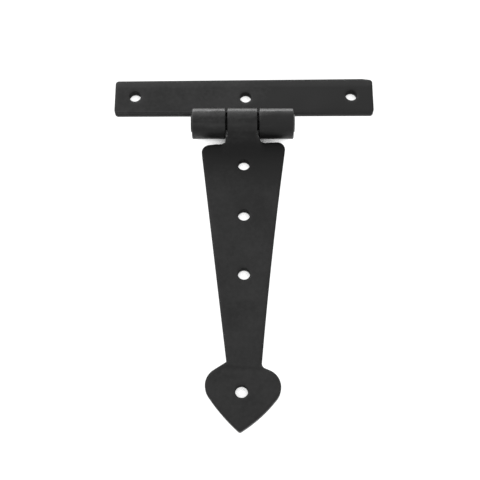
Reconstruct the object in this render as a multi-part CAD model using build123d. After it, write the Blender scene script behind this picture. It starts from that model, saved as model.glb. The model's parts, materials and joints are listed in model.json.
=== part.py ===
from build123d import *
import os
from math import acos, atan2, cos, degrees, hypot, pi, radians, sin, tan

# A black steel tee hinge, about 152 mm from the cross plate's upper edge to the strap's tip.
# All sizes are millimetres. While the pieces are made, the pin's axis runs along X at Y = 0, the strap
# points to -Y with its middle line at X = 0, and both leaves lie with their backs on Z = 0.

# Sheet, pin and screw holes
sheet = 3.5
pin_diameter = 6.0
pin_clearance = 0.05
screw_hole_diameter = 5.0
edge_round = 0.35
rim_bevel = 0.3

# Barrel: the neck's knuckle sits a little to the left of the strap's middle line
neck_x = -0.25
neck_width = 12.3
left_knuckle_length = 14.0
right_knuckle_length = 14.5
knuckle_gap = 0.9
seam_gap = 0.25
peened_head_diameter = 7.4
peened_head_height = 0.55
peened_head_round = 0.4

# Cross plate: its edges were cut by hand and aren't quite parallel
plate_left = 55.0
plate_right = 56.1
plate_gap_left = 0.1
plate_gap_right = 0.55
plate_height_left = 15.6
plate_height_right = 16.45
plate_corner_radius = 1.5
dipped_corner_length = 4.5
dipped_corner_depth = 0.6
left_hole_margin = 8.65
left_hole_rise = 8.05
middle_hole_x = 1.2
middle_hole_rise = 7.65
right_hole_margin = 9.4
right_hole_rise = 8.65

# Strap: shoulders, taper and crank of the neck; the gaps and the run are measured from the barrel.
# The neck's foot, clear of the barrel, is a little wider than its knuckle.
left_shoulder_x = -17.7
right_shoulder_x = 18.3
right_edge_hollow = 0.6
left_bent_gap = 2.1
right_bent_gap = 1.35
shoulder_bend_run = 4.5
left_shoulder_inner_gap = 1.55
left_shoulder_outer_gap = 2.35
right_shoulder_inner_gap = 0.85
right_shoulder_outer_gap = 0.45
left_shoulder_radius = 3.4
right_shoulder_radius = 3.3
neck_corner_radius = 0.6
foot_clearance = 0.35
left_foot_width = 0.9
right_foot_width = 1.25
crank_angle = 55.0
crank_run = 5.45
crank_pull = 0.8
flank_width = 3.5
strap_hole_x = 0.4
strap_hole_reach = 17.8
strap_hole_spacing_1 = 22.8
strap_hole_spacing_2 = 25.6

# Spade-shaped tip: it starts where the taper ends, and its sizes are measured from there. Each side leaves
# its lobe some degrees before a straight line would, and so swells a little on its way to the tip.
taper_reach = 102.3
left_root_x = -6.5
right_root_x = 7.2
right_root_lag = 2.05
right_root_radius = 2.0
lobe_radius = 7.15
left_lobe_x = -7.6
left_lobe_gap = 2.05
right_lobe_x = 7.5
right_lobe_gap = 0.7
tip_x = -1.3
tip_drop = 27.2
tip_radius = 1.0
left_side_turn = 7.3
right_side_turn = 10.5
tip_hole_x = -0.6
tip_hole_drop = 11.7

# Steps in the loft beside the neck, and the distance below which things touch
flank_steps = 4
touching = 0.01

# Sizes that follow from those above
pin_radius = pin_diameter / 2
eye_radius = pin_radius + pin_clearance
barrel_radius = eye_radius + sheet
axis_height = barrel_radius
neck_left = neck_x - neck_width / 2
neck_right = neck_x + neck_width / 2
left_knuckle_start = neck_left - knuckle_gap
right_knuckle_start = neck_right + knuckle_gap
barrel_left = left_knuckle_start - left_knuckle_length
barrel_right = right_knuckle_start + right_knuckle_length
crank_reach = barrel_radius + crank_run
foot_reach = barrel_radius + foot_clearance
lower_edge_left = barrel_radius + plate_gap_left
lower_edge_right = barrel_radius + plate_gap_right
upper_edge_left = lower_edge_left + plate_height_left
upper_edge_right = lower_edge_right + plate_height_right
middle_hole_y = lower_edge_left + middle_hole_rise
right_root_reach = taper_reach + right_root_lag


def on_circle(centre, radius, angle):
    """The point of a circle at an angle in degrees."""
    return (centre[0] + radius * cos(radians(angle)), centre[1] + radius * sin(radians(angle)))


def midway(first, second):
    """The point halfway between two points."""
    return ((first[0] + second[0]) / 2, (first[1] + second[1]) / 2)


def touch_angle(start, centre, radius, side):
    """The angle, in degrees, at which a straight line from start touches a circle; side is +1 or -1."""
    towards = (start[0] - centre[0], start[1] - centre[1])
    return degrees(atan2(towards[1], towards[0])) - side * degrees(acos(radius / hypot(*towards)))


def rounded(outline, corners):
    """An outline with the corner nearest to each given point rounded to its radius."""
    for point, radius in corners:
        corner = outline.vertices().sort_by_distance((*point, 0))[0]
        outline = fillet(corner, radius)
    return outline


def drilled(leaf, places):
    """A leaf with a plain screw hole at each place."""
    for place in places:
        leaf -= Pos(*place, sheet / 2) * Cylinder(screw_hole_diameter / 2, 3 * sheet)
    return leaf


def rolled_eye(start_angle):
    """Section, in Y and Z, of a sheet rolled clockwise round the pin, from start_angle on.

    The free end comes round until its outer corner is one seam gap from the sheet it started from.
    """
    centre = (0, axis_height)
    open_angle = degrees(acos((eye_radius - seam_gap) / barrel_radius))
    roll = open_angle - 360
    outer = CenterArc(centre, barrel_radius, start_angle, roll)
    inner = CenterArc(centre, eye_radius, start_angle, roll)
    return make_face([outer, Line(outer @ 1, inner @ 1), inner, Line(inner @ 0, outer @ 0)])


def along_pin(section, first, last):
    """A section in Y and Z carried along the pin from X = first to X = last."""
    return extrude(Plane.YZ.offset(first) * section, amount=last - first)


def make_cross_plate():
    """The short leaf: one sheet with two tabs rolled into the outer knuckles."""
    upper_slope = (upper_edge_right - upper_edge_left) / (plate_left + plate_right)
    dip_start = plate_right - dipped_corner_length
    corners = [
        (-plate_left, lower_edge_left),
        (plate_right, lower_edge_right),
        (plate_right, upper_edge_right - dipped_corner_depth),
        (dip_start, upper_edge_right - upper_slope * dipped_corner_length),
        (-plate_left, upper_edge_left),
    ]
    outline = make_face(Polyline(*corners, close=True))
    ends = [corners[0], corners[1], corners[2], corners[4]]
    outline = rounded(outline, [(corner, plate_corner_radius) for corner in ends])
    leaf = extrude(outline, amount=sheet)
    leaf = fillet(leaf.faces().sort_by(Axis.Z)[-1].edges(), edge_round)

    tab_end = max(lower_edge_left, lower_edge_right) + 2 * edge_round
    tab = Pos(tab_end / 2, sheet / 2) * Rectangle(tab_end, sheet)
    for first, last in ((barrel_left, left_knuckle_start), (right_knuckle_start, barrel_right)):
        knuckle = along_pin(rolled_eye(270) + tab, first, last)
        arcs = knuckle.edges().filter_by(GeomType.CIRCLE)
        leaf += chamfer(arcs.filter_by(lambda arc: arc.radius > eye_radius + touching), rim_bevel)
    holes = [
        (left_hole_margin - plate_left, lower_edge_left + left_hole_rise),
        (middle_hole_x, middle_hole_y),
        (plate_right - right_hole_margin, lower_edge_left + right_hole_rise),
    ]
    return drilled(leaf, holes)


def make_pin():
    """A plain rod, closed over at both ends against the outer knuckles."""
    rod = along_pin(Circle(pin_radius), barrel_left, barrel_right)
    for side, end in ((-1, barrel_left), (1, barrel_right)):
        head = along_pin(Circle(peened_head_diameter / 2), end, end + side * peened_head_height)
        rim = head.edges().sort_by(Axis.X)[0 if side < 0 else -1]
        rod += fillet(rim, peened_head_round)
    return Pos(0, 0, axis_height) * rod


def strap_outline():
    """The strap seen from the front, from the barrel down to the tip."""
    left_foot = (neck_left - left_foot_width, -foot_reach)
    left_bent = (left_foot[0], -barrel_radius - left_bent_gap)
    left_inner = (neck_left - shoulder_bend_run, -barrel_radius - left_shoulder_inner_gap)
    left_outer = (left_shoulder_x, -barrel_radius - left_shoulder_outer_gap)
    right_foot = (neck_right + right_foot_width, -foot_reach)
    right_bent = (right_foot[0], -barrel_radius - right_bent_gap)
    right_inner = (neck_right + shoulder_bend_run, -barrel_radius - right_shoulder_inner_gap)
    right_outer = (right_shoulder_x, -barrel_radius - right_shoulder_outer_gap)
    left_root = (left_root_x, -taper_reach)
    right_root = (right_root_x, -right_root_reach)
    left_lobe = (left_lobe_x, -taper_reach - left_lobe_gap - lobe_radius)
    right_lobe = (right_lobe_x, -right_root_reach - right_lobe_gap - lobe_radius)
    tip = (tip_x, -taper_reach - tip_drop)

    left_start = on_circle(left_lobe, lobe_radius, touch_angle(left_root, left_lobe, lobe_radius, -1))
    right_start = on_circle(right_lobe, lobe_radius, touch_angle(right_root, right_lobe, lobe_radius, 1))
    left_end_angle = touch_angle(tip, left_lobe, lobe_radius, 1) - left_side_turn
    right_end_angle = touch_angle(tip, right_lobe, lobe_radius, -1) + right_side_turn
    left_end = on_circle(left_lobe, lobe_radius, left_end_angle)
    right_end = on_circle(right_lobe, lobe_radius, right_end_angle)
    hollow = midway(right_root, right_outer)
    edges = [
        Polyline(
            (neck_right, 0), (neck_left, 0), (neck_left, -foot_reach), left_foot,
            left_bent, left_inner, left_outer, left_root, left_start,
        ),
        ThreePointArc(left_start, on_circle(left_lobe, lobe_radius, 180), left_end),
        TangentArc(left_end, tip, tangent=on_circle((0, 0), 1, left_end_angle + 90)),
        TangentArc(right_end, tip, tangent=on_circle((0, 0), 1, right_end_angle - 90)),
        ThreePointArc(right_end, on_circle(right_lobe, lobe_radius, 0), right_start),
        Line(right_start, right_root),
        ThreePointArc(right_root, (hollow[0] - right_edge_hollow, hollow[1]), right_outer),
        Polyline(
            right_outer, right_inner, right_bent, right_foot,
            (neck_right, -foot_reach), (neck_right, 0),
        ),
    ]
    return rounded(make_face(edges), [
        (left_bent, neck_corner_radius),
        (right_bent, neck_corner_radius),
        (left_outer, left_shoulder_radius),
        (right_outer, right_shoulder_radius),
        (right_root, right_root_radius),
        (tip, tip_radius),
    ])


def rising_curve(level, end, share):
    """A curve, in Y and Z, that leaves the flat strap at a level and climbs at the crank's angle to end.

    share lowers the climb: 1 on the neck itself, 0 where the strap stays flat.
    """
    corner = (end[0] - (end[1] - level) / tan(radians(crank_angle)), level)
    start = (-crank_reach, level)
    leave = (start[0] + crank_pull * (corner[0] - start[0]), level)
    arrive = (end[0] + crank_pull * (corner[0] - end[0]), end[1] + crank_pull * (level - end[1]))
    return Bezier(*[(y, level + share * (z - level)) for y, z in (start, leave, arrive, end)])


def cranked_sheet(share):
    """Section, in Y and Z, of the sheet from the flat strap up to the eye."""
    axis = (0, axis_height)
    start_angle = 90 + crank_angle
    front = rising_curve(sheet, on_circle(axis, barrel_radius, start_angle), share)
    back = rising_curve(0, on_circle(axis, eye_radius, start_angle), share)
    return make_face([front, Line(front @ 1, back @ 1), back, Line(back @ 0, front @ 0)])


def make_flank(side):
    """The strap beside the neck, where the crank dies away into the flat shoulder."""
    sections = []
    start = neck_left if side < 0 else neck_right
    for step in range(flank_steps + 1):
        away = step / flank_steps
        place = Plane.YZ.offset(start + side * away * flank_width)
        sections.append(place * cranked_sheet(cos(away * pi / 2) ** 2))
    return loft(sections)


def make_strap():
    """The long leaf: a tapered sheet with a spade-shaped tip, and a neck rolled round the pin."""
    outline = strap_outline()
    crank_area = Pos(neck_x, 0) * Rectangle(neck_width + 2 * flank_width, 2 * crank_reach)
    leaf = extrude(outline - crank_area, amount=sheet)
    border = outline.wire()
    front_edges = []
    for edge in leaf.faces().sort_by(Axis.Z)[-1].edges():
        middle = edge @ 0.5
        if border.distance_to((middle.X, middle.Y, 0)) < touching:
            front_edges.append(edge)
    leaf = fillet(front_edges, edge_round)

    prism = extrude(outline, amount=2 * axis_height)
    for side in (-1, 1):
        leaf += make_flank(side) & prism
    leaf += along_pin(rolled_eye(90 + crank_angle) + cranked_sheet(1), neck_left, neck_right)
    second_hole_reach = strap_hole_reach + strap_hole_spacing_1
    holes = [
        (strap_hole_x, -strap_hole_reach),
        (strap_hole_x, -second_hole_reach),
        (strap_hole_x, -second_hole_reach - strap_hole_spacing_2),
        (tip_hole_x, -taper_reach - tip_hole_drop),
    ]
    return drilled(leaf, holes)


# The finished pieces are moved so that the origin is on the middle screw hole's axis, in the back plane.
to_middle_hole = Pos(-middle_hole_x, -middle_hole_y, 0)
pieces = {
    "cross_plate": make_cross_plate(),
    "strap": make_strap(),
    "hinge_pin": make_pin(),
}
os.makedirs("parts", exist_ok=True)
for name, piece in pieces.items():
    placed = to_middle_hole * piece
    print(name, "volume", round(placed.volume, 1), "solids", len(placed.solids()), "valid", placed.is_valid)
    export_step(placed, f"parts/{name}.step")
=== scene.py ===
import json
import math

import bpy
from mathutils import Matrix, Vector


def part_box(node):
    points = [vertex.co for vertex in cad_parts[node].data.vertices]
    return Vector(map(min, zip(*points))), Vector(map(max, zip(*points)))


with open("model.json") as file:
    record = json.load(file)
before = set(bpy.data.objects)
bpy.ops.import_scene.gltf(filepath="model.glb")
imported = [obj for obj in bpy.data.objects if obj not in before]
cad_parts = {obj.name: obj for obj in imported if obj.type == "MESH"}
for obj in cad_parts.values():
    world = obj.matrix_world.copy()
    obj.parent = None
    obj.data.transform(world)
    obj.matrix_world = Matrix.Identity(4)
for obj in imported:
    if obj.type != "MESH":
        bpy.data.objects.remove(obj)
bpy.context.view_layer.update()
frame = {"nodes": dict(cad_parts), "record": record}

# Cross plate
# The short leaf is sheet steel, sheared by hand, its far edge drawn down by the shear, and rolled round the
# pin at two tabs. It was dipped in a satin black coating, which is dull on the flat sheet, burnished on the
# rolls, and soft at the cut edges. Its right half has a deeper coat, painted darker as a painted shade.
MILLIMETRE = 0.001
COAT_GLOSS = 0.42
THIN_COAT = 0.2
PLAIN_COAT = 0.5
THICK_COAT = 0.8
DULL_THIN = 0.68
DULL_THICK = 0.58
BURNISHED_THIN = 0.33
BURNISHED_THICK = 0.25
UNDERSIDE_MATT = 0.25
EDGE_WEAR = 0.08
SOFT_FLAT_EDGE = 0.6
SOFT_ROLL_EDGE = 0.3
HOLE_TURN = 2.0
WAVE_MM = 0.9
DENT_MM = 0.35
GRAIN_MM = 0.012
CLOUDS = 1.6
SPECKS = 0.9
ROLL_STREAKS = 1.6
pin_place = frame["record"]["behaviour"]["joints"][0]["pos_m"]
barrel_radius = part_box("cross_plate")[1][2] / 2
screw_holes = [mount for mount in frame["record"]["mounts"] if mount["kind"] == "bore"]
hole_radius = screw_holes[0]["dims"]["r_mm"] * MILLIMETRE
sheet_mm = screw_holes[0]["dims"]["length_mm"]
sheet_thickness = sheet_mm * MILLIMETRE


def add_group(name, inputs, outputs):
    """A shader node group with named float or vector sockets, and its input and output nodes."""
    group = bpy.data.node_groups.new(name, "ShaderNodeTree")
    for socket, kind in inputs:
        group.interface.new_socket(socket, in_out="INPUT", socket_type=kind)
    for socket, kind in outputs:
        group.interface.new_socket(socket, in_out="OUTPUT", socket_type=kind)
    return group, group.nodes.new("NodeGroupInput"), group.nodes.new("NodeGroupOutput")


def feed(tree, socket, value):
    """Sets a socket to a number or a vector, or links another socket to it."""
    if isinstance(value, bpy.types.NodeSocket):
        tree.links.new(value, socket)
    else:
        socket.default_value = value


def add_noise(tree, place, scale, detail):
    """A noise texture read at place, with scale in waves per metre and detail in finer layers."""
    noise = tree.nodes.new("ShaderNodeTexNoise")
    noise.inputs["Scale"].default_value = scale
    noise.inputs["Detail"].default_value = detail
    tree.links.new(place, noise.inputs["Vector"])
    return noise.outputs["Fac"]


def add_math(tree, operation, first, second=0.0):
    """One math node; each side is a number or a socket."""
    node = tree.nodes.new("ShaderNodeMath")
    node.operation = operation
    feed(tree, node.inputs[0], first)
    feed(tree, node.inputs[1], second)
    return node.outputs["Value"]


def add_vector_math(tree, operation, first, second=(0.0, 0.0, 0.0)):
    """One vector math node; each side is a vector or a socket, and what comes out is a vector or a number."""
    node = tree.nodes.new("ShaderNodeVectorMath")
    node.operation = operation
    feed(tree, node.inputs[0], first)
    feed(tree, node.inputs[1], second)
    return node.outputs["Value" if operation in ("LENGTH", "DISTANCE", "DOT_PRODUCT") else "Vector"]


def add_span(tree, value, low, high, new_low, new_high, smooth=False):
    """Carries low to high over to new_low to new_high, and holds it there beyond."""
    node = tree.nodes.new("ShaderNodeMapRange")
    node.interpolation_type = "SMOOTHSTEP" if smooth else "LINEAR"
    tree.links.new(value, node.inputs["Value"])
    for name, number in (("From Min", low), ("From Max", high), ("To Min", new_low), ("To Max", new_high)):
        feed(tree, node.inputs[name], number)
    return node.outputs["Result"]


def add_mix(tree, factor, first, second):
    """A value that goes from first to second as factor goes from 0 to 1."""
    node = tree.nodes.new("ShaderNodeMix")
    feed(tree, node.inputs["Factor"], factor)
    feed(tree, node.inputs["A"], first)
    feed(tree, node.inputs["B"], second)
    return node.outputs["Result"]


def add_part(tree, place, letter):
    """The X, Y or Z of a place."""
    parts = tree.nodes.new("ShaderNodeSeparateXYZ")
    tree.links.new(place, parts.inputs["Vector"])
    return parts.outputs[letter]


def add_bevel(tree, radius, samples):
    """The normal as a bevel of the given radius would round it, and the true normal."""
    bevel = tree.nodes.new("ShaderNodeBevel")
    bevel.samples = samples
    bevel.inputs["Radius"].default_value = radius
    true_normal = tree.nodes.new("ShaderNodeNewGeometry").outputs["Normal"]
    return bevel.outputs["Normal"], true_normal


def rolled_barrel_group():
    """Where the sheet is rolled or cranked up: 1 near the pin's axis and above the flat sheet, else 0.

    It is the larger of two fades, one outwards by the distance from the axis and one upwards by the level.
    """
    roll_edge = 1.08 * barrel_radius
    roll_end = 1.30 * barrel_radius
    crank_foot = 1.02 * sheet_thickness
    crank_top = 2.2 * sheet_thickness
    group, given, result = add_group(
        "rolled_barrel",
        [("Place", "NodeSocketVector")],
        [("Rolled", "NodeSocketFloat")],
    )
    place = given.outputs["Place"]
    from_pin = add_vector_math(group, "SUBTRACT", place, pin_place)
    across = add_vector_math(group, "MULTIPLY", from_pin, (0.0, 1.0, 1.0))
    distance = add_vector_math(group, "LENGTH", across)
    rolled = add_span(group, distance, roll_edge, roll_end, 1.0, 0.0, smooth=True)
    level = add_part(group, place, "Z")
    raised = add_span(group, level, crank_foot, crank_top, 0.0, 1.0, smooth=True)
    group.links.new(add_math(group, "MAXIMUM", rolled, raised), result.inputs["Rolled"])
    return group


def hammered_sheet_group():
    """Height of the sheet in millimetres: the sum of three noises, each times its own height.

    They are broad waves left by the rollers, dents where the sheet was hammered round the pin, and the
    coat's fine grain.
    """
    waves_per_metre = 45.0
    dents_per_metre = 150.0
    grains_per_metre = 2600.0
    group, given, result = add_group(
        "hammered_sheet",
        [("Place", "NodeSocketVector"), ("Rolled", "NodeSocketFloat"), ("Wave", "NodeSocketFloat"),
         ("Dent", "NodeSocketFloat"), ("Grain", "NodeSocketFloat")],
        [("Height", "NodeSocketFloat")],
    )
    place = given.outputs["Place"]
    wave = add_noise(group, place, waves_per_metre, detail=1.0)
    wave = add_math(group, "MULTIPLY", wave, given.outputs["Wave"])
    dent = add_noise(group, place, dents_per_metre, detail=1.0)
    dent = add_math(group, "MULTIPLY", dent, given.outputs["Dent"])
    dent = add_math(group, "MULTIPLY", dent, given.outputs["Rolled"])
    grain = add_noise(group, place, grains_per_metre, detail=2.0)
    grain = add_math(group, "MULTIPLY", grain, given.outputs["Grain"])
    height = add_math(group, "ADD", add_math(group, "ADD", wave, dent), grain)
    group.links.new(height, result.inputs["Height"])
    return group


def sheared_edge_group():
    """Height of the sheared faces in millimetres, drawn over towards the front as a shear leaves them.

    It is half the square of the sheet's thickness less half the square of the level, over the turn, which
    is the radius of the drawn-over face. The rolled knuckles have none.
    """
    group, given, result = add_group(
        "sheared_edge",
        [("Place", "NodeSocketVector"), ("Rolled", "NodeSocketFloat"), ("Turn", "NodeSocketFloat")],
        [("Height", "NodeSocketFloat")],
    )
    level = add_math(group, "DIVIDE", add_part(group, given.outputs["Place"], "Z"), MILLIMETRE)
    level = add_math(group, "MAXIMUM", level, 0.0)
    level = add_math(group, "MINIMUM", level, sheet_mm)
    half_square = add_math(group, "MULTIPLY", level, add_math(group, "DIVIDE", level, 2.0))
    fall = add_math(group, "SUBTRACT", sheet_mm**2 / 2, half_square)
    fall = add_math(group, "DIVIDE", fall, given.outputs["Turn"])
    flat = add_math(group, "SUBTRACT", 1.0, given.outputs["Rolled"])
    group.links.new(add_math(group, "MULTIPLY", fall, flat), result.inputs["Height"])
    return group


def punched_hole_group():
    """Where a screw hole is: 1 on its wall and rim and 0 away from it, by how far off the nearest axis is."""
    rim = 1.05 * hole_radius
    rim_end = 1.2 * hole_radius
    far_away = 1.0
    group, given, result = add_group(
        "punched_hole",
        [("Place", "NodeSocketVector")],
        [("Hole", "NodeSocketFloat")],
    )
    on_back = add_vector_math(group, "MULTIPLY", given.outputs["Place"], (1.0, 1.0, 0.0))
    nearest = far_away
    for hole in screw_holes:
        distance = add_vector_math(group, "DISTANCE", on_back, hole["pos_m"])
        nearest = add_math(group, "MINIMUM", distance, nearest)
    group.links.new(add_span(group, nearest, rim, rim_end, 1.0, 0.0), result.inputs["Hole"])
    return group


def mottled_coat_group():
    """Thickness of the coat: the plain coat with clouds, specks and streaks, each by its own amount.

    Each of the three is a noise less its mean, and the streaks' noise is drawn out along X.
    """
    clouds_per_metre = 70.0
    specks_per_metre = 700.0
    streaks_per_metre = 420.0
    streak_stretch = (0.12, 1.0, 1.0)
    noise_mean = 0.5
    group, given, result = add_group(
        "mottled_coat",
        [("Place", "NodeSocketVector"), ("Cloud", "NodeSocketFloat"), ("Speck", "NodeSocketFloat"),
         ("Streak", "NodeSocketFloat")],
        [("Thickness", "NodeSocketFloat")],
    )
    place = given.outputs["Place"]
    drawn_out = add_vector_math(group, "MULTIPLY", place, streak_stretch)
    marks = (
        ("Cloud", place, clouds_per_metre),
        ("Speck", place, specks_per_metre),
        ("Streak", drawn_out, streaks_per_metre),
    )
    thickness = PLAIN_COAT
    for amount, where, scale in marks:
        mark = add_math(group, "SUBTRACT", add_noise(group, where, scale, detail=3.0), noise_mean)
        mark = add_math(group, "MULTIPLY", mark, given.outputs[amount])
        thickness = add_math(group, "ADD", mark, thickness)
    group.links.new(thickness, result.inputs["Thickness"])
    return group


def worn_edge_group():
    """Where the coat is rubbed: 1 on an outer edge, where the bevelled normal leaves the true one.

    The cosine of the angle between the two normals gives the edge, and a noise breaks it up.
    """
    edge_radius = 0.5 * MILLIMETRE
    cosine_off_edge = 0.98
    cosine_on_edge = 0.80
    breaks_per_metre = 420.0
    break_low = 0.38
    break_high = 0.62
    least_wear = 0.15
    group, given, result = add_group(
        "worn_edge",
        [("Place", "NodeSocketVector"), ("Amount", "NodeSocketFloat")],
        [("Wear", "NodeSocketFloat")],
    )
    bevelled, true_normal = add_bevel(group, edge_radius, samples=6)
    agreement = add_vector_math(group, "DOT_PRODUCT", bevelled, true_normal)
    edge = add_span(group, agreement, cosine_off_edge, cosine_on_edge, 0.0, 1.0)
    broken = add_noise(group, given.outputs["Place"], breaks_per_metre, detail=4.0)
    broken = add_span(group, broken, break_low, break_high, least_wear, 1.0)
    wear = add_math(group, "MULTIPLY", edge, broken)
    group.links.new(add_math(group, "MULTIPLY", wear, given.outputs["Amount"]), result.inputs["Wear"])
    return group


def softened_edge_group():
    """The normal of a sheet whose coat has drawn back from its edges.

    It is the true normal, turned a share of the way to the normal of a wide bevel and made one long again.
    """
    soft_radius = 2.2 * MILLIMETRE
    group, given, result = add_group(
        "softened_edge",
        [("Share", "NodeSocketFloat")],
        [("Normal", "NodeSocketVector")],
    )
    bevelled, true_normal = add_bevel(group, soft_radius, samples=8)
    turn = add_vector_math(group, "SUBTRACT", bevelled, true_normal)
    scaled = group.nodes.new("ShaderNodeVectorMath")
    scaled.operation = "SCALE"
    group.links.new(turn, scaled.inputs[0])
    group.links.new(given.outputs["Share"], scaled.inputs["Scale"])
    softened = add_vector_math(group, "ADD", true_normal, scaled.outputs["Vector"])
    group.links.new(add_vector_math(group, "NORMALIZE", softened), result.inputs["Normal"])
    return group


rolled_barrel = rolled_barrel_group()
hammered_sheet = hammered_sheet_group()
sheared_edge = sheared_edge_group()
punched_hole = punched_hole_group()
mottled_coat = mottled_coat_group()
worn_edge = worn_edge_group()
softened_edge = softened_edge_group()


def place_group(tree, group, **values):
    """A group node in a material, each input set to its own value or socket; returns its first output."""
    node = tree.nodes.new("ShaderNodeGroup")
    node.node_tree = group
    for name, value in values.items():
        feed(tree, node.inputs[name], value)
    return node.outputs[0]


def black_coat(name):
    """A satin black coat, still without colour, roughness and normal.

    Returns the material, its node tree, its shader and the socket that gives the place on the surface.
    """
    material = bpy.data.materials.new(name)
    material.use_nodes = True
    tree = material.node_tree
    surface = tree.nodes["Principled BSDF"]
    surface.inputs["Specular IOR Level"].default_value = COAT_GLOSS
    place = tree.nodes.new("ShaderNodeTexCoord").outputs["Object"]
    return material, tree, surface, place


def paint(tree, surface, place, thickness, greys, wear, rim_light=0.0):
    """Base colour from thin to thick coat, and to the rubbed grey on worn edges and on a painted rim
    highlight.
    """
    depth = add_span(tree, thickness, THIN_COAT, THICK_COAT, 0.0, 1.0)
    grey = add_mix(tree, depth, greys["thin"], greys["thick"])
    # The rubbed grey goes on worn edges and, as a painted highlight, on the lit rim.
    wear_and_rim_light = add_math(tree, "MAXIMUM", place_group(tree, worn_edge, Place=place, Amount=wear), rim_light)
    grey = add_mix(tree, wear_and_rim_light, grey, greys["rubbed"])
    colour = tree.nodes.new("ShaderNodeCombineColor")
    for letter in ("Red", "Green", "Blue"):
        tree.links.new(grey, colour.inputs[letter])
    tree.links.new(colour.outputs["Color"], surface.inputs["Base Color"])


def raise_surface(tree, surface, height, normal=None):
    """A bump of the given height in millimetres, on a softened normal where there is one."""
    bump = tree.nodes.new("ShaderNodeBump")
    bump.inputs["Strength"].default_value = 1.0
    bump.inputs["Distance"].default_value = MILLIMETRE
    tree.links.new(height, bump.inputs["Height"])
    if normal is not None:
        tree.links.new(normal, bump.inputs["Normal"])
    tree.links.new(bump.outputs["Normal"], surface.inputs["Normal"])


def pressed_line(tree, place, line):
    """Height in millimetres of a line pressed across a leaf: lowest on the line, and 0 away from it.

    line gives its level in Y, how far it slants in Y per X, its widths on the far and the near side, its
    depth, and how far it reaches to both sides of the pin's middle. It fades out over the last fifth of
    that reach.
    """
    along = add_math(tree, "MULTIPLY", add_part(tree, place, "X"), -line["slant"])
    along = add_math(tree, "ADD", along, add_part(tree, place, "Y"))
    along = add_math(tree, "SUBTRACT", along, line["level"] * MILLIMETRE)
    far_side = add_span(tree, along, 0.0, line["far_width"] * MILLIMETRE, 0.0, 1.0)
    near_side = add_span(tree, along, -line["near_width"] * MILLIMETRE, 0.0, 1.0, 0.0)
    away = add_math(tree, "ADD", far_side, near_side)
    groove = add_span(tree, away, 0.0, 1.0, -line["depth"], 0.0, smooth=True)
    reach = line["reach"] * MILLIMETRE
    aside = add_math(tree, "SUBTRACT", add_part(tree, place, "X"), pin_place[0])
    aside = add_math(tree, "ABSOLUTE", aside)
    fade_start = 0.8 * reach
    fade = add_span(tree, aside, fade_start, reach, 1.0, 0.0, smooth=True)
    return add_math(tree, "MULTIPLY", groove, fade)


def painted_rim_light(tree, place, lit_rim):
    """How strongly the cut face is painted light towards the near right corner, a painted highlight.

    The last argument gives where the painted highlight starts and is full, in millimetres of X less Y, and
    its amount. The front and the back are left out: the highlight comes in over the lowest tenth of the
    sheet's thickness and goes out over the top fifth.
    """
    corner = add_math(tree, "SUBTRACT", add_part(tree, place, "X"), add_part(tree, place, "Y"))
    start = lit_rim["start"] * MILLIMETRE
    end = lit_rim["end"] * MILLIMETRE
    # A painted highlight on the cut face towards the near right corner.
    rim_light = add_span(tree, corner, start, end, 0.0, lit_rim["amount"], smooth=True)
    top_fifth = 0.8 * sheet_thickness
    lowest_tenth = 0.1 * sheet_thickness
    level = add_part(tree, place, "Z")
    below_front = add_span(tree, level, top_fifth, sheet_thickness, 1.0, 0.0)
    above_back = add_span(tree, level, 0.0, lowest_tenth, 0.0, 1.0)
    cut_face = add_math(tree, "MULTIPLY", below_front, above_back)
    return add_math(tree, "MULTIPLY", rim_light, cut_face)


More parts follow.
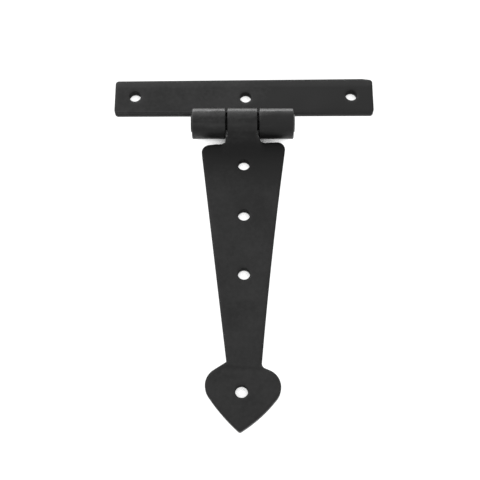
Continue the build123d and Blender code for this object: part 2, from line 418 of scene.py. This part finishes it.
def leaf_coat(name, greys, shade_drift, edge_turn, line, lit_rim=None):
    """The coat of a leaf: dull on flat sheet, burnished on top of the roll, and soft at the cut edges.

    greys are those of the thin, the thick and the rubbed coat. The drift is a painted shade: it gives the
    axis along which the coat is deepened and so painted darker, where that starts and ends in millimetres,
    how much deeper and how much rougher the coat gets, and the share of that on the roll. edge_turn is the
    radius in millimetres to which the sheared faces are drawn over. line is for pressed_line, and the last
    argument, where the leaf has a rim painted light as a painted highlight, is for that highlight.
    """
    material, tree, surface, place = black_coat(name)
    rolled = place_group(tree, rolled_barrel, Place=place)
    streak = add_math(tree, "MULTIPLY", rolled, ROLL_STREAKS)
    thickness = place_group(tree, mottled_coat, Place=place, Cloud=CLOUDS, Speck=SPECKS, Streak=streak)
    # The drift paints shade: it darkens the coat along one axis.
    shade_ramp = add_part(tree, place, shade_drift["axis"])
    shade_ramp = add_span(tree, shade_ramp, shade_drift["start"] * MILLIMETRE, shade_drift["end"] * MILLIMETRE, 0.0, 1.0, smooth=True)
    shade_ramp = add_math(tree, "MULTIPLY", shade_ramp, add_mix(tree, rolled, 1.0, shade_drift["on_roll"]))
    thickness = add_math(tree, "ADD", thickness, add_math(tree, "MULTIPLY", shade_ramp, shade_drift["shade_thickness"]))
    rim_light = painted_rim_light(tree, place, lit_rim) if lit_rim else 0.0
    paint(tree, surface, place, thickness, greys, EDGE_WEAR, rim_light)

    dull = add_span(tree, thickness, THIN_COAT, THICK_COAT, DULL_THIN, DULL_THICK)
    dull = add_math(tree, "ADD", dull, add_math(tree, "MULTIPLY", shade_ramp, shade_drift["rougher"]))
    burnished = add_span(tree, thickness, THIN_COAT, THICK_COAT, BURNISHED_THIN, BURNISHED_THICK)
    underside_start = 0.2 * barrel_radius
    underside_end = 0.9 * barrel_radius
    to_near = add_math(tree, "SUBTRACT", pin_place[1], add_part(tree, place, "Y"))
    underside = add_span(tree, to_near, underside_start, underside_end, 0.0, UNDERSIDE_MATT)
    burnished = add_math(tree, "ADD", burnished, underside)
    tree.links.new(add_mix(tree, rolled, dull, burnished), surface.inputs["Roughness"])

    height = place_group(tree, hammered_sheet, Place=place, Rolled=rolled,
                         Wave=WAVE_MM, Dent=DENT_MM, Grain=GRAIN_MM)
    turn = add_mix(tree, place_group(tree, punched_hole, Place=place), edge_turn, HOLE_TURN)
    edge = place_group(tree, sheared_edge, Place=place, Rolled=rolled, Turn=turn)
    height = add_math(tree, "ADD", height, edge)
    height = add_math(tree, "ADD", height, pressed_line(tree, place, line))
    share = add_mix(tree, rolled, SOFT_FLAT_EDGE, SOFT_ROLL_EDGE)
    raise_surface(tree, surface, height, place_group(tree, softened_edge, Share=share))
    return material


def finish_node(name, material):
    """Gives a solid its material."""
    slots = frame["nodes"][name].data.materials
    slots.clear()
    slots.append(material)


plate_coat = leaf_coat(
    "plate_coat",
    greys={"thin": 0.019, "thick": 0.002, "rubbed": 0.03},
    # The drift is a painted shade: the plate's right half is painted darker.
    shade_drift={"axis": "X", "start": -5.0, "end": 18.0, "shade_thickness": 0.5, "rougher": 0.0, "on_roll": 1.0},
    edge_turn=4.5,
    line={"level": 8.83, "slant": 0.0077, "far_width": 3.0, "near_width": 4.2, "depth": 0.36, "reach": 90.0},
)
finish_node("cross_plate", plate_coat)

# Strap
# The long leaf is the same sheet steel, cut to a taper with a spade-shaped tip. Its neck is cranked up and
# rolled over the pin, and a faint forged line crosses the root of the spade. It took the same black dip.
# Towards the neck the coat is rougher and painted darker, a painted shade of the barrel, and the spade's near
# right rim is painted light, a painted highlight.
strap_coat = leaf_coat(
    "strap_coat",
    # The rubbed grey is for worn edges and for the painted highlight on the spade's rim.
    greys={"thin": 0.014, "thick": 0.001, "rubbed": 0.09},
    # The drift is a painted shade: the strap is darker and rougher towards the neck.
    shade_drift={"axis": "Y", "start": -48.0, "end": -22.0, "shade_thickness": 0.8, "rougher": 0.18, "on_roll": 0.0},
    edge_turn=12.0,
    line={"level": -119.7, "slant": -0.06, "far_width": 1.4, "near_width": 3.2, "depth": 0.2, "reach": 10.0},
    # The rub is a painted highlight: the spade's near right rim is painted light.
    lit_rim={"start": 138.0, "end": 143.0, "amount": 0.9},
)
finish_node("strap", strap_coat)

# Hinge pin
# A plain steel rod through the three knuckles. Its ends were closed over with a hammer after the pin was put
# in. Its right end has a thin coat, painted light as a painted highlight on the closed-over head.
# The thin grey is mostly seen at the right end, as a painted highlight.
PIN_GREYS = {"thin": 0.3, "thick": 0.004, "rubbed": 0.35}
PIN_EDGE_WEAR = 0.6
PIN_ROUGH_THIN = 0.35
PIN_ROUGH_THICK = 0.85
PIN_DENT_MM = 0.2
END_HIGHLIGHT = 0.3
HEAD_DEPTH = 0.6 * MILLIMETRE
pin_left, pin_right = [corner[0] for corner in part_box("hinge_pin")]
pin_coat, pin_tree, pin_surface, on_pin = black_coat("pin_coat")
from_middle = add_math(pin_tree, "SUBTRACT", add_part(pin_tree, on_pin, "X"), (pin_left + pin_right) / 2)
half_length = (pin_right - pin_left) / 2
highlight_start = half_length - 2 * HEAD_DEPTH
highlight_end = half_length - HEAD_DEPTH
# The coat thins towards the right end, which paints the highlight there.
highlight_coat = add_span(pin_tree, from_middle, highlight_start, highlight_end, END_HIGHLIGHT, -END_HIGHLIGHT)
thickness = place_group(pin_tree, mottled_coat, Place=on_pin, Cloud=0.8, Speck=0.6, Streak=0.0)
thickness = add_math(pin_tree, "ADD", thickness, highlight_coat)
paint(pin_tree, pin_surface, on_pin, thickness, PIN_GREYS, PIN_EDGE_WEAR)
pin_roughness = add_span(pin_tree, thickness, THIN_COAT, THICK_COAT, PIN_ROUGH_THIN, PIN_ROUGH_THICK)
pin_tree.links.new(pin_roughness, pin_surface.inputs["Roughness"])
pin_height = place_group(pin_tree, hammered_sheet, Place=on_pin, Rolled=1.0,
                         Wave=0.0, Dent=PIN_DENT_MM, Grain=GRAIN_MM)
raise_surface(pin_tree, pin_surface, pin_height)
finish_node("hinge_pin", pin_coat)

# Floor
# A white sweep, far enough below the hinge for the strap to swing down, and a clear film on which the hinge
# lies. The film carries a painted contact shadow: it dims what is seen through it by how closely the hinge
# stands over it.
WHITE = (1.0, 1.0, 1.0, 1.0)
SWEEP_HALF = 20.0
SWEEP_DEPTH = 0.3
SWEEP_GREY = 0.4
SWEEP_WHITE = 0.72
SWEEP_ROUGHNESS = 0.2
SWEEP_GLOSS = 1.0
FILM_HALF = 0.4
FILM_DEPTH = 0.02 * MILLIMETRE
SHADOW_REACH = 15.0 * MILLIMETRE
SHADOW_SAMPLES = 12
SHADOW_DARK = 0.03
SHADOW_CLEAR = 0.33


def add_sheet(name, half, depth):
    """A level square under the hinge, which reaches half to each side and lies depth below the hinge's back.

    It gets a new material, whose node tree is returned.
    """
    corners = [(-half, -half, -depth), (half, -half, -depth), (half, half, -depth), (-half, half, -depth)]
    mesh = bpy.data.meshes.new(name)
    mesh.from_pydata(corners, [], [(0, 1, 2, 3)])
    material = bpy.data.materials.new(name)
    material.use_nodes = True
    mesh.materials.append(material)
    sheet = bpy.data.objects.new(name, mesh)
    bpy.context.scene.collection.objects.link(sheet)
    return material.node_tree


sweep_tree = add_sheet("white_sweep", SWEEP_HALF, SWEEP_DEPTH)
sweep_surface = sweep_tree.nodes["Principled BSDF"]
sweep_surface.inputs["Base Color"].default_value = (SWEEP_GREY, SWEEP_GREY, SWEEP_GREY, 1.0)
sweep_surface.inputs["Roughness"].default_value = SWEEP_ROUGHNESS
sweep_surface.inputs["Specular IOR Level"].default_value = SWEEP_GLOSS
light_path = sweep_tree.nodes.new("ShaderNodeLightPath")
seen = light_path.outputs["Is Camera Ray"]
for other_ray in ("Is Glossy Ray", "Is Transmission Ray"):
    seen = add_math(sweep_tree, "MAXIMUM", seen, light_path.outputs[other_ray])
sweep_surface.inputs["Emission Color"].default_value = WHITE
white_glow = add_math(sweep_tree, "MULTIPLY", seen, SWEEP_WHITE)
sweep_tree.links.new(white_glow, sweep_surface.inputs["Emission Strength"])

film_tree = add_sheet("shadow_film", FILM_HALF, FILM_DEPTH)
film_tree.nodes.remove(film_tree.nodes["Principled BSDF"])
clear = film_tree.nodes.new("ShaderNodeBsdfTransparent")
# The film's colour is a painted shadow, from how closely the hinge stands over it.
openness = film_tree.nodes.new("ShaderNodeAmbientOcclusion")
openness.samples = SHADOW_SAMPLES
openness.inputs["Distance"].default_value = SHADOW_REACH
shadow = add_span(film_tree, openness.outputs["AO"], SHADOW_DARK, SHADOW_CLEAR, 0.0, 1.0, smooth=True)
from_below = film_tree.nodes.new("ShaderNodeNewGeometry").outputs["Backfacing"]
film_tree.links.new(add_math(film_tree, "MAXIMUM", shadow, from_below), clear.inputs["Color"])
film_tree.links.new(clear.outputs["BSDF"], film_tree.nodes["Material Output"].inputs["Surface"])

# Light
# A light tent. Its far wall has a bright low strip straight ahead and dims overhead and to the right, its
# near wall is dim low down and to the left, and a white hem runs round just above the sweep.
# Heights, sides and the turn from near to far are parts of a direction of length 1.
NEAR_LOW = 0.5
NEAR_HIGH = 0.95
NEAR_HEIGHT = 0.4
FAR_LOW = 8.0
FAR_MIDDLE = 1.68
STRIP_HEIGHT = 0.22
STRIP_SIDE = 0.4
STRIP_END = 0.85
FAR_HIGH_SHARE = 0.62
OVERHEAD_START = 0.5
OVERHEAD_END = 0.85
LEFT_SIDE = -0.5
RIGHT_SIDE = 0.6
NEAR_LEFT_SHARE = 0.66
NEAR_RIGHT_SHARE = 1.08
FAR_LEFT_SHARE = 1.2
FAR_RIGHT_SHARE = 0.45
NEAR_TO_FAR = 0.35
HEM_TOP = 0.06
HEM_FADE = 0.1
world = bpy.data.worlds.new("light_tent")
bpy.context.scene.world = world
world.use_nodes = True
tent_tree = world.node_tree
direction = tent_tree.nodes.new("ShaderNodeTexCoord").outputs["Generated"]
to_right = add_part(tent_tree, direction, "X")
to_far = add_part(tent_tree, direction, "Y")
up = add_part(tent_tree, direction, "Z")
near = add_span(tent_tree, up, 0.0, NEAR_HEIGHT, NEAR_LOW, NEAR_HIGH)
near_share = add_span(tent_tree, to_right, LEFT_SIDE, RIGHT_SIDE, NEAR_LEFT_SHARE, NEAR_RIGHT_SHARE)
near = add_math(tent_tree, "MULTIPLY", near, near_share)
aside = add_math(tent_tree, "ABSOLUTE", to_right)
strip = add_span(tent_tree, aside, STRIP_SIDE, STRIP_END, FAR_LOW, FAR_MIDDLE, smooth=True)
far = add_span(tent_tree, up, 0.0, STRIP_HEIGHT, strip, FAR_MIDDLE)
overhead_share = add_span(tent_tree, up, OVERHEAD_START, OVERHEAD_END, 1.0, FAR_HIGH_SHARE)
far = add_math(tent_tree, "MULTIPLY", far, overhead_share)
far_share = add_span(tent_tree, to_right, LEFT_SIDE, RIGHT_SIDE, FAR_LEFT_SHARE, FAR_RIGHT_SHARE)
far = add_math(tent_tree, "MULTIPLY", far, far_share)
farness = add_span(tent_tree, to_far, -NEAR_TO_FAR, NEAR_TO_FAR, 0.0, 1.0, smooth=True)
tent = add_mix(tent_tree, farness, near, far)
hem = add_span(tent_tree, up, HEM_TOP, HEM_FADE, 1.0, 0.0)
tent = add_math(tent_tree, "MAXIMUM", tent, hem)
background = tent_tree.nodes["Background"]
background.inputs["Color"].default_value = WHITE
tent_tree.links.new(tent, background.inputs["Strength"])

# Camera
# It looks down on the lying hinge from the strap's end, 21.5 degrees off straight down.
TILT = math.radians(21.5)
EYE = (-2.4 * MILLIMETRE, -214.75 * MILLIMETRE, 381.2 * MILLIMETRE)
LENS_MM = 75.0
SENSOR_MM = 36.0
camera_data = bpy.data.cameras.new("camera")
camera_data.lens = LENS_MM
camera_data.sensor_width = SENSOR_MM
camera = bpy.data.objects.new("camera", camera_data)
camera.location = EYE
camera.rotation_euler = (TILT, 0.0, 0.0)
bpy.context.scene.collection.objects.link(camera)
bpy.context.scene.camera = camera
bpy.context.scene.view_settings.view_transform = "Standard"
